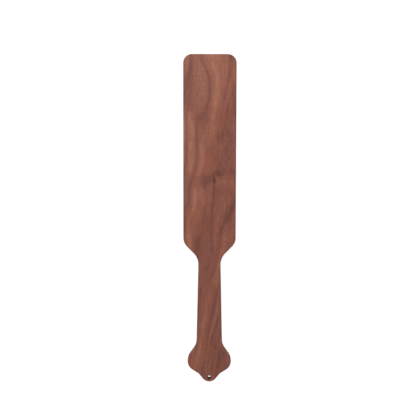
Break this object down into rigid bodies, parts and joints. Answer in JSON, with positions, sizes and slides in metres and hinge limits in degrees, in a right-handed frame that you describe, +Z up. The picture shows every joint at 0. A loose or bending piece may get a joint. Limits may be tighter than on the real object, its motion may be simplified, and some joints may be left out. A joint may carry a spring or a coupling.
{
  "type": "paddle serving board",
  "caption": "Slim one-piece walnut paddle board with a long blade, sloping shoulders, a waisted grip and a rounded knob whose nose has a hanging hole.",
  "frame": {"origin": "middle of the board's length and width, on the underside", "axes": "+Y along the board towards the blade's free end, +Z up through the thickness, +X to the right of the blade"},
  "size_m": [0.0556, 0.34, 0.011],
  "materials": {
    "walnut": "fine-sanded walnut with a thin satin oil finish"
  },
  "bodies": {
    "root": {"paddle": "walnut"}
  },
  "joints": []
}
